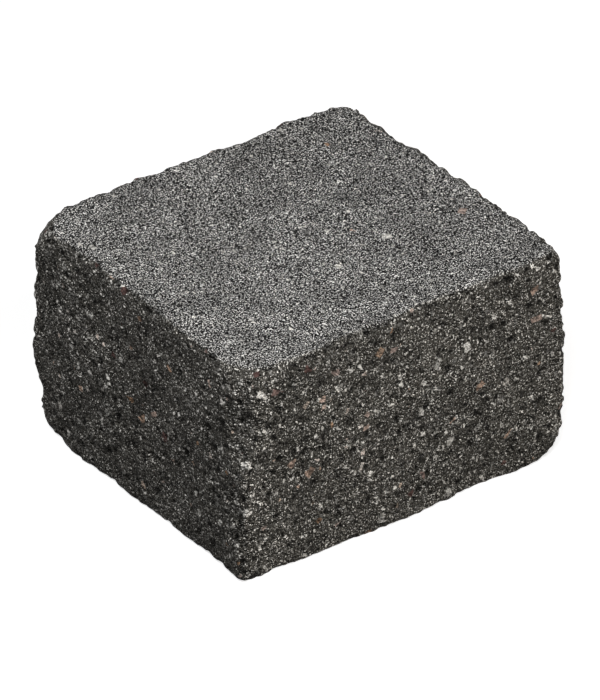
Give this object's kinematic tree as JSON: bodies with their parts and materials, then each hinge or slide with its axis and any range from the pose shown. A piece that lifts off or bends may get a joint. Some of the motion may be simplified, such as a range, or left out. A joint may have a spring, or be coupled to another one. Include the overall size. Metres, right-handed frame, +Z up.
{
  "type": "garden wall block",
  "caption": "Solid rectangular concrete block for garden walls, with flat top and bottom and rough split sides with worn corners.",
  "frame": {"origin": "centre of the bottom bearing face, on the floor that the block rests on", "axes": "+X to the right along the front face, the longest extent; +Y from the front face to the back; +Z up, the shortest extent"},
  "size_m": [0.2515, 0.2334, 0.15],
  "materials": {
    "concrete": "rough dark grey concrete with light, tan and rust-brown stone flecks"
  },
  "bodies": {
    "root": {"wall_block": "concrete"}
  },
  "joints": []
}
